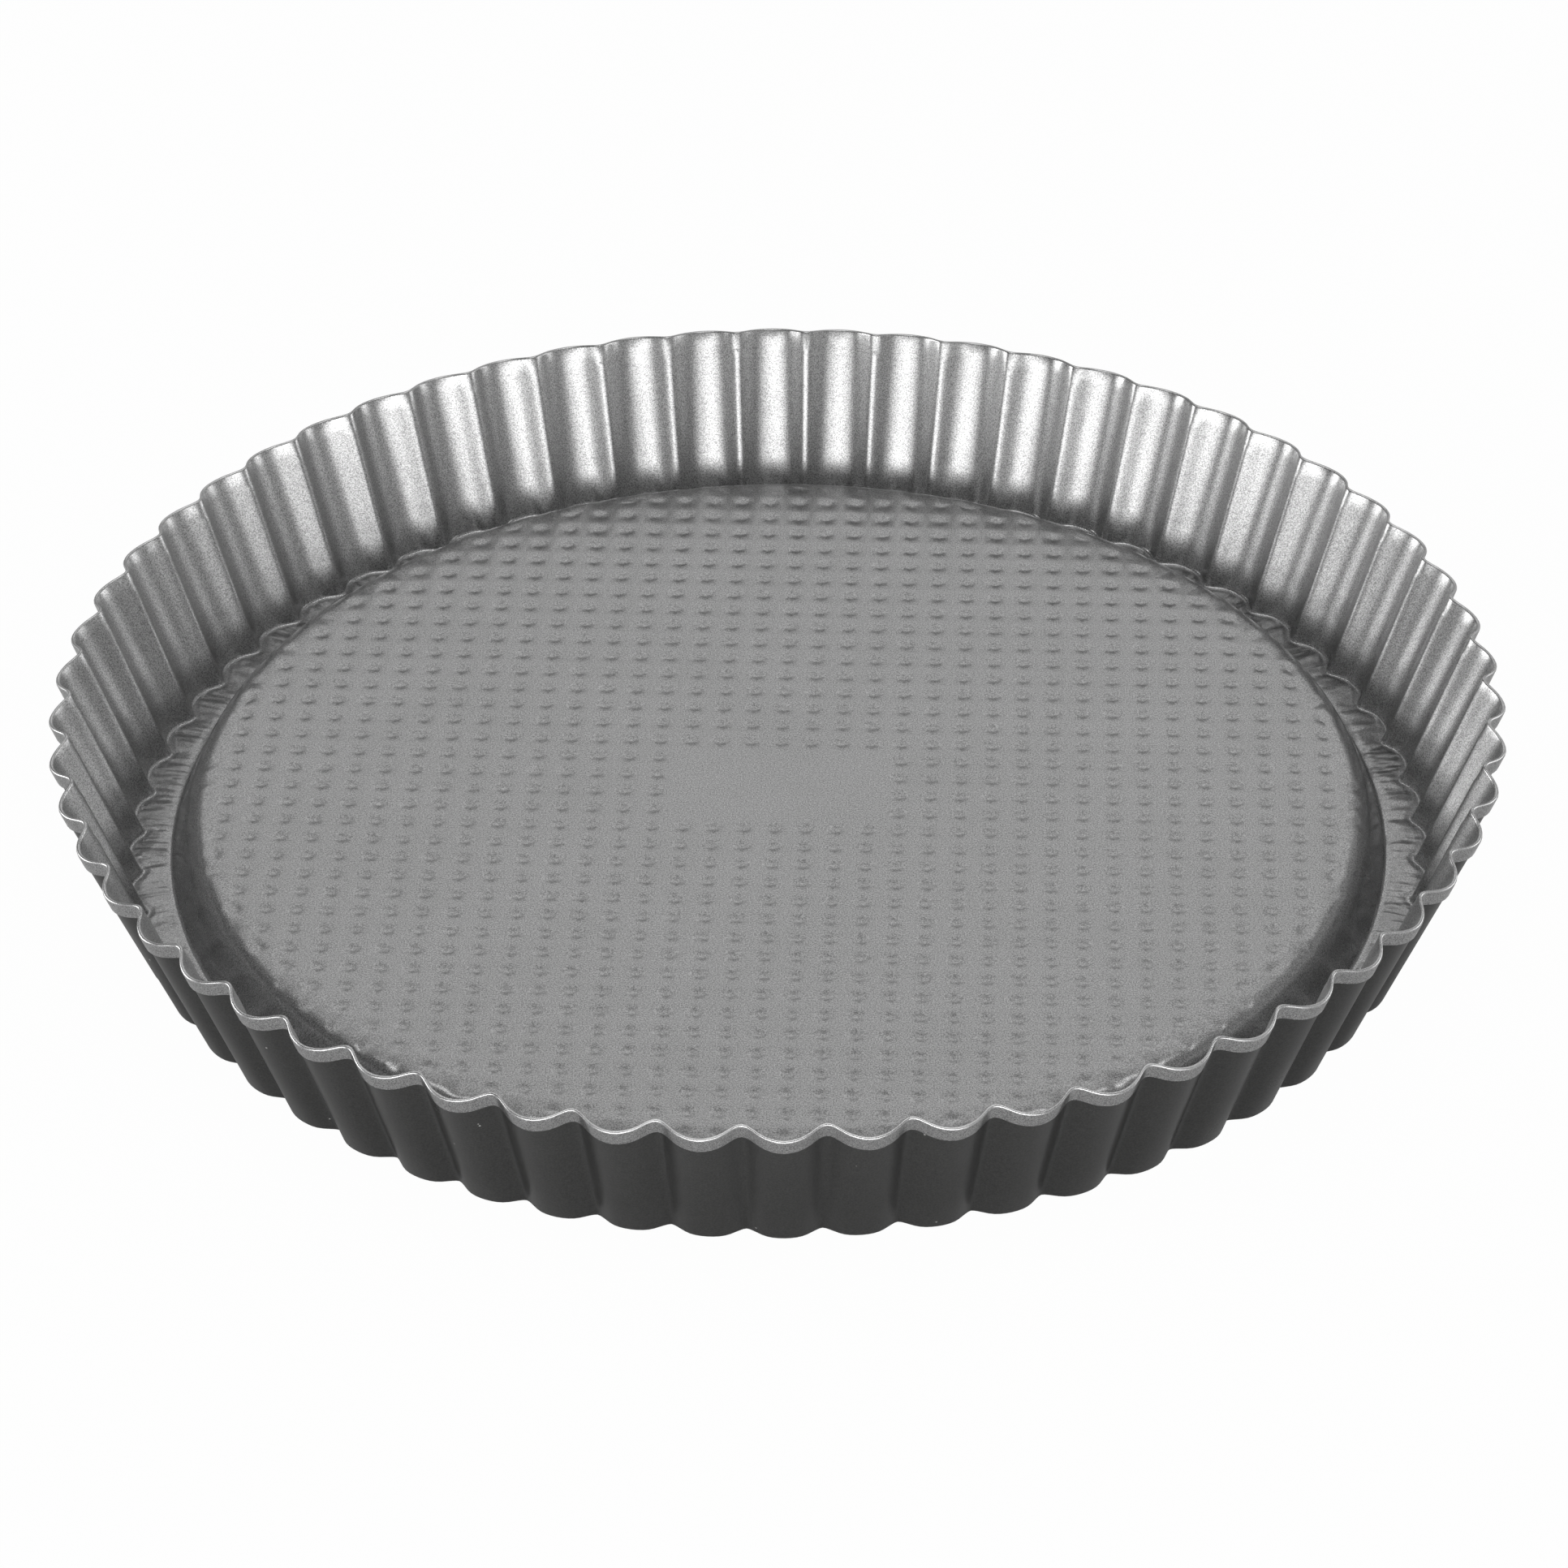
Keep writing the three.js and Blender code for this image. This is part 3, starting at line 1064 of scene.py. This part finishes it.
@dataclass(frozen=True)
class LacquerFinish:
    """Anthracite outside lacquer: a thin rolled and baked film, satin, over the steel's own grain."""

    deep: str = "#131313"
    pale: str = "#343433"
    speck: str = "#9a9a98"
    grain: float = 0.34
    grain_band: tuple[float, float] = (0.25, 0.75)
    cloud: float = 22.0
    speck_pitch: float = 7.0
    speck_size: float = 0.028
    roughness: tuple[float, float] = (0.26, 0.36)
    ior: float = 1.5
    relief: float = 0.010

    def build(self) -> bpy.types.Material:
        """Make the material.

        Returns:
            The material of the outside.
        """
        # Near black with a soft sheen along the lobes, a fine grain and a few pale specks of dust in it.
        # The grain of the film is about 0.1 mm, drawn some three times as coarse so that it shows.
        material, tree = fresh_material("anthracite_baked_lacquer")
        where = add_node(tree, "ShaderNodeTexCoord").outputs["Object"]
        grain = add_node(tree, "ShaderNodeTexNoise", {
            "Vector": where, "Scale": per_metre(self.grain), "Detail": 1.5, "Roughness": 0.6})
        cloud = add_node(tree, "ShaderNodeTexNoise", {
            "Vector": where, "Scale": per_metre(self.cloud), "Detail": 2.0, "Roughness": 0.5})
        shade = add_node(tree, "ShaderNodeMapRange", {
            "Value": grain.outputs["Fac"], "From Min": self.grain_band[0], "From Max": self.grain_band[1]})
        film = add_node(tree, "ShaderNodeMix", {
            MIX_SHARE: shade.outputs["Result"], MIX_FIRST: linear(self.deep), MIX_SECOND: linear(self.pale)},
            data_type="RGBA")
        cells = add_node(tree, "ShaderNodeTexVoronoi", {
            "Vector": where, "Scale": per_metre(self.speck_pitch), "Randomness": 1.0})
        dot = add_node(tree, "ShaderNodeMath", {0: cells.outputs["Distance"], 1: self.speck_size},
                       operation="LESS_THAN")
        colour = add_node(tree, "ShaderNodeMix", {
            MIX_SHARE: dot.outputs["Value"], MIX_FIRST: film.outputs[MIX_COLOUR],
            MIX_SECOND: linear(self.speck)}, data_type="RGBA")
        blur = add_node(tree, "ShaderNodeMapRange", {
            "Value": cloud.outputs["Fac"], "From Min": NOISE_BAND[0], "From Max": NOISE_BAND[1],
            "To Min": self.roughness[0], "To Max": self.roughness[1]})
        bump = add_node(tree, "ShaderNodeBump", {
            "Height": grain.outputs["Fac"], "Strength": 1.0, "Distance": self.relief * MM})
        shader = add_node(tree, "ShaderNodeBsdfPrincipled", {
            "Base Color": colour.outputs[MIX_COLOUR], "Metallic": 0.0, "IOR": self.ior,
            "Roughness": blur.outputs["Result"], "Normal": bump.outputs["Normal"]})
        add_node(tree, "ShaderNodeOutputMaterial", {"Surface": shader.outputs["BSDF"]})
        return material


@dataclass(frozen=True)
class ShearedSteelFinish:
    """Bare cold-rolled steel where the blank was sheared, at the raw edge of the hem."""

    deep: str = "#8b8e91"
    pale: str = "#c4c7ca"
    stroke: float = 0.6
    roughness: tuple[float, float] = (0.24, 0.40)

    def build(self) -> bpy.types.Material:
        """Make the material.

        Returns:
            The material of the steel.
        """
        # A bright cut with short strokes in it, left by the shear.
        material, tree = fresh_material("sheared_cold_rolled_steel")
        where = add_node(tree, "ShaderNodeTexCoord").outputs["Object"]
        strokes = add_node(tree, "ShaderNodeTexNoise", {
            "Vector": where, "Scale": per_metre(self.stroke), "Detail": 2.0, "Roughness": 0.6})
        share = add_node(tree, "ShaderNodeMapRange", {
            "Value": strokes.outputs["Fac"], "From Min": NOISE_BAND[0], "From Max": NOISE_BAND[1]})
        colour = add_node(tree, "ShaderNodeMix", {
            MIX_SHARE: share.outputs["Result"], MIX_FIRST: linear(self.deep), MIX_SECOND: linear(self.pale)},
            data_type="RGBA")
        blur = add_node(tree, "ShaderNodeMapRange", {
            "Value": strokes.outputs["Fac"], "From Min": NOISE_BAND[0], "From Max": NOISE_BAND[1],
            "To Min": self.roughness[1], "To Max": self.roughness[0]})
        shader = add_node(tree, "ShaderNodeBsdfPrincipled", {
            "Base Color": colour.outputs[MIX_COLOUR], "Metallic": 1.0, "Roughness": blur.outputs["Result"]})
        add_node(tree, "ShaderNodeOutputMaterial", {"Surface": shader.outputs["BSDF"]})
        return material


@dataclass
class Layer:
    """One layer of the sheet, drawn as a closed shell and dressed in its finish."""

    pressing: Pressing
    name: str
    node: str
    slot: str

    def dress(self, shell: Shell, material: bpy.types.Material) -> bpy.types.Object:
        """Turn the shell into the piece that stands for its solid.

        Args:
            shell: The closed layer.
            material: Its finish.

        Returns:
            The piece.
        """
        piece = shell.to_object(self.name)
        piece.data.materials.append(material)
        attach(piece, BODY)
        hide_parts(self.node)
        return piece


@dataclass
class Lining(Layer):
    """The non-stick coat over the bowl, the fold and the hem's leaf."""

    finish: NonstickFinish = field(default_factory=NonstickFinish)

    def build(self) -> bpy.types.Object:
        """Build the coat and dress it.

        Returns:
            The piece.
        """
        section = self.pressing.section
        bowl = Face(section.bond + section.lining, Detail.BOWL, wrinkled=True)
        outside = Face(section.bond, Detail.HIDDEN)
        return self.dress(self.pressing.layer(bowl, outside, Zone.LEAF), self.finish.build())


@dataclass
class SteelSheet(Layer):
    """The steel between the coats, which shows only along the raw edge of the hem."""

    finish: ShearedSteelFinish = field(default_factory=ShearedSteelFinish)

    def build(self) -> bpy.types.Object:
        """Build the sheet and dress it.

        Returns:
            The piece.
        """
        bowl = Face(0.0, Detail.HIDDEN)
        outside = Face(-self.pressing.section.steel, Detail.HIDDEN)
        return self.dress(self.pressing.layer(bowl, outside, Zone.LEAF), self.finish.build())


@dataclass
class Lacquer(Layer):
    """The dark coat under the tin and up its outside, into the hem."""

    finish: LacquerFinish = field(default_factory=LacquerFinish)

    def build(self) -> bpy.types.Object:
        """Build the coat and dress it.

        Returns:
            The piece.
        """
        section = self.pressing.section
        bowl = Face(-section.steel - section.bond, Detail.HIDDEN)
        outside = Face(bowl.offset - section.lacquer, Detail.OUTSIDE)
        return self.dress(self.pressing.layer(bowl, outside, Zone.WALL), self.finish.build())


@dataclass(frozen=True)
class Softbox:
    """A soft lamp of the studio, aimed at the tin. Lengths are metres."""

    name: str
    place: tuple[float, float, float]
    size: tuple[float, float]
    glow: float
    fade: tuple[float, float] = (0.5, 0.5)

    # Power that rounds the fall-off
    EASE: ClassVar[float] = 1.6

    def soften(self, lamp: bpy.types.AreaLight) -> None:
        """Fade the lamp towards the sides of its diffuser.

        Args:
            lamp: The lamp, which gets a node tree.
        """
        lamp.use_nodes = True
        tree = lamp.node_tree
        tree.nodes.clear()
        spot = add_node(tree, "ShaderNodeNewGeometry").outputs["Parametric"]
        sides = add_node(tree, "ShaderNodeSeparateXYZ", {"Vector": spot}).outputs
        shares = []
        for side, fade in zip(("X", "Y"), self.fade):
            rest = add_node(tree, "ShaderNodeMath", {0: 1.0, 1: sides[side]}, operation="SUBTRACT")
            hump = add_node(tree, "ShaderNodeMath", {0: sides[side], 1: rest.outputs["Value"]},
                            operation="MULTIPLY")
            share = add_node(tree, "ShaderNodeMath", {0: hump.outputs["Value"], 1: fade * (1 - fade)},
                             operation="DIVIDE", use_clamp=True)
            shares.append(share.outputs["Value"])
        both = add_node(tree, "ShaderNodeMath", {0: shares[0], 1: shares[1]}, operation="MULTIPLY")
        rounded = add_node(tree, "ShaderNodeMath", {0: both.outputs["Value"], 1: self.EASE},
                           operation="POWER")
        shine = add_node(tree, "ShaderNodeEmission", {"Strength": rounded.outputs["Value"]})
        add_node(tree, "ShaderNodeOutputLight", {"Surface": shine.outputs["Emission"]})

    def build(self) -> None:
        """Hang the lamp."""
        lamp = bpy.data.lights.new(self.name, "AREA")
        lamp.shape = "RECTANGLE"
        lamp.size, lamp.size_y = self.size
        lamp.energy = self.glow * math.pi * self.size[0] * self.size[1]
        self.soften(lamp)
        stand = bpy.data.objects.new(self.name, lamp)
        stand.location = self.place
        stand.visible_camera = False
        stand.rotation_euler = (-Vector(self.place)).to_track_quat("-Z", "Y").to_euler()
        bpy.context.scene.collection.objects.link(stand)


@dataclass(frozen=True)
class Studio:
    """Pale floor, soft lamps, a pale surround and the camera at the photograph's viewing angle. Metres.

    The surround is brighter low down than overhead, and brighter towards +X than towards -X.
    """

    # The floor's size, its card and the white that it shows to the camera and to mirrors
    floor_side: float = 8.0
    floor_drop: float = 0.0002
    paper: str = "#c8c8c8"
    floor_white: float = 0.98
    mirrored_white: float = 0.15

    # The surround's light low down and overhead, the heights between which it changes, and its lean to +X
    surround: tuple[float, float] = (0.40, 0.20)
    surround_band: tuple[float, float] = (0.1, 0.9)
    side_gain: float = 0.6

    # The camera, turned about the tin's axis by its bearing
    camera_place: tuple[float, float, float] = (0.0, -0.8980, 0.6315)
    camera_target: tuple[float, float, float] = (0.0012, 0.0079, 0.0050)
    camera_roll: float = -0.00677
    camera_bearing: float = math.radians(-0.267)
    lens: float = 127.06
    sensor: float = 36.0

    # Each lamp's place, size and glow, and how far from its sides it starts to fade
    lamps: tuple[Softbox, ...] = (
        Softbox("key_softbox", (-0.62, -1.33, 0.33), (2.2, 0.86), 5.4),
        Softbox("left_softbox", (-1.46, 0.20, 0.29), (1.5, 0.86), 6.4),
        Softbox("front_softbox", (0.30, -1.44, 0.33), (2.2, 0.86), 4.3),
        Softbox("side_softbox", (1.40, 0.36, 0.29), (1.4, 0.86), 2.4),
        Softbox("back_softbox", (0.0, 1.23, 1.06), (1.6, 1.14), 0.58, (0.22, 0.2)),
        Softbox("top_softbox", (0.0, -0.1, 1.5), (1.4, 1.4), 1.7, (0.3, 0.3)),
        Softbox("left_ceiling_lamp", (-0.46, 0.43, 1.25), (0.34, 0.34), 4.2),
        Softbox("right_ceiling_lamp", (0.46, 0.43, 1.25), (0.34, 0.34), 4.2),
    )

    def seen_share(self, tree: bpy.types.NodeTree) -> bpy.types.NodeSocket:
        """Give the floor's white to camera rays, less of it to mirrors and glass, and none to other rays.

        Args:
            tree: Tree of the floor's material.

        Returns:
            The socket with that number.
        """
        rays = add_node(tree, "ShaderNodeLightPath").outputs
        mirrored = add_node(tree, "ShaderNodeMath", {
            0: rays["Is Glossy Ray"], 1: rays["Is Transmission Ray"]}, operation="MAXIMUM")
        dimmed = add_node(tree, "ShaderNodeMath", {0: mirrored.outputs["Value"], 1: self.mirrored_white},
                          operation="MULTIPLY")
        direct = add_node(tree, "ShaderNodeMath", {0: rays["Is Camera Ray"], 1: self.floor_white},
                          operation="MULTIPLY")
        return add_node(tree, "ShaderNodeMath", {0: dimmed.outputs["Value"], 1: direct.outputs["Value"]},
                        operation="MAXIMUM").outputs["Value"]

    def paper_material(self) -> bpy.types.Material:
        """Make the floor's paper.

        Returns:
            The floor's material, white to the camera but for the tin's shadow.
        """
        # Matt white card: even, without gloss.
        material, tree = fresh_material("matt_white_card")
        matt = add_node(tree, "ShaderNodeBsdfDiffuse", {"Color": linear(self.paper)})
        white = add_node(tree, "ShaderNodeEmission", {"Color": WHITE, "Strength": 1.0})
        mixed = add_node(tree, "ShaderNodeMixShader", {
            0: self.seen_share(tree), 1: matt.outputs["BSDF"], 2: white.outputs["Emission"]})
        add_node(tree, "ShaderNodeOutputMaterial", {"Surface": mixed.outputs["Shader"]})
        return material

    def lay_floor(self) -> None:
        """Lay the floor under the tin."""
        half = self.floor_side / 2
        corners = [(-half, -half, 0), (half, -half, 0), (half, half, 0), (-half, half, 0)]
        mesh = bpy.data.meshes.new("studio_floor")
        mesh.from_pydata(corners, [], [(0, 1, 2, 3)])
        floor = bpy.data.objects.new("studio_floor", mesh)
        floor.location.z = -self.floor_drop
        mesh.materials.append(self.paper_material())
        bpy.context.scene.collection.objects.link(floor)

    def light_surround(self) -> None:
        """Light the tin from all round, with white behind it for the camera."""
        world = bpy.data.worlds.new("studio_surround")
        bpy.context.scene.world = world
        world.use_nodes = True
        tree = world.node_tree
        tree.nodes.clear()
        camera_ray = add_node(tree, "ShaderNodeLightPath").outputs["Is Camera Ray"]
        direction = add_node(tree, "ShaderNodeTexCoord").outputs["Generated"]
        way = add_node(tree, "ShaderNodeSeparateXYZ", {"Vector": direction}).outputs
        height = add_node(tree, "ShaderNodeMapRange", {
            "Value": way["Z"], "From Min": self.surround_band[0], "From Max": self.surround_band[1],
            "To Min": self.surround[0], "To Max": self.surround[1]})
        side = add_node(tree, "ShaderNodeMath", {0: way["X"], 1: self.side_gain, 2: 1.0},
                        operation="MULTIPLY_ADD")
        room = add_node(tree, "ShaderNodeMath", {0: height.outputs["Result"], 1: side.outputs["Value"]},
                        operation="MULTIPLY")
        strength = add_node(tree, "ShaderNodeMath", {0: camera_ray, 1: room.outputs["Value"]},
                            operation="MAXIMUM")
        glow = add_node(tree, "ShaderNodeBackground", {"Color": WHITE, "Strength": strength.outputs["Value"]})
        add_node(tree, "ShaderNodeOutputWorld", {"Surface": glow.outputs["Background"]})

    def set_camera(self) -> None:
        """Stand the camera where the photograph was taken from."""
        camera = bpy.data.cameras.new("photo_camera")
        camera.sensor_width = self.sensor
        camera.lens = self.lens
        place = Vector(self.camera_place)
        ahead = (Vector(self.camera_target) - place).normalized()
        level = ahead.cross(Vector((0, 0, 1))).normalized()
        above = level.cross(ahead)
        right = math.cos(self.camera_roll) * level + math.sin(self.camera_roll) * above
        up = right.cross(ahead)
        pose = Matrix((right, up, -ahead)).transposed().to_4x4()
        pose.translation = place
        stand = bpy.data.objects.new("photo_camera", camera)
        stand.matrix_world = Matrix.Rotation(self.camera_bearing, 4, "Z") @ pose
        bpy.context.scene.collection.objects.link(stand)
        bpy.context.scene.camera = stand

    def build(self) -> None:
        """Set the studio up."""
        bpy.context.scene.view_settings.view_transform = "Standard"
        self.set_camera()
        self.lay_floor()
        self.light_surround()
        for lamp in self.lamps:
            lamp.build()


def main() -> None:
    """Load the frame, build the studio and the tin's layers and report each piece."""
    logging.basicConfig(level=logging.INFO, format="%(name)s: %(message)s")
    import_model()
    Studio().build()
    pressing = Pressing()
    layers = (
        Lining(pressing, "nonstick_coat", "nonstick_lining", "lining"),
        SteelSheet(pressing, "steel_sheet", "steel_pressing", "steel"),
        Lacquer(pressing, "lacquer_coat", "outer_lacquer", "lacquer"),
    )
    for layer in layers:
        piece = layer.build()
        LOG.info("%s: %d vertices, %d faces", piece.name, len(piece.data.vertices), len(piece.data.polygons))


if __name__ == "__main__":
    main()
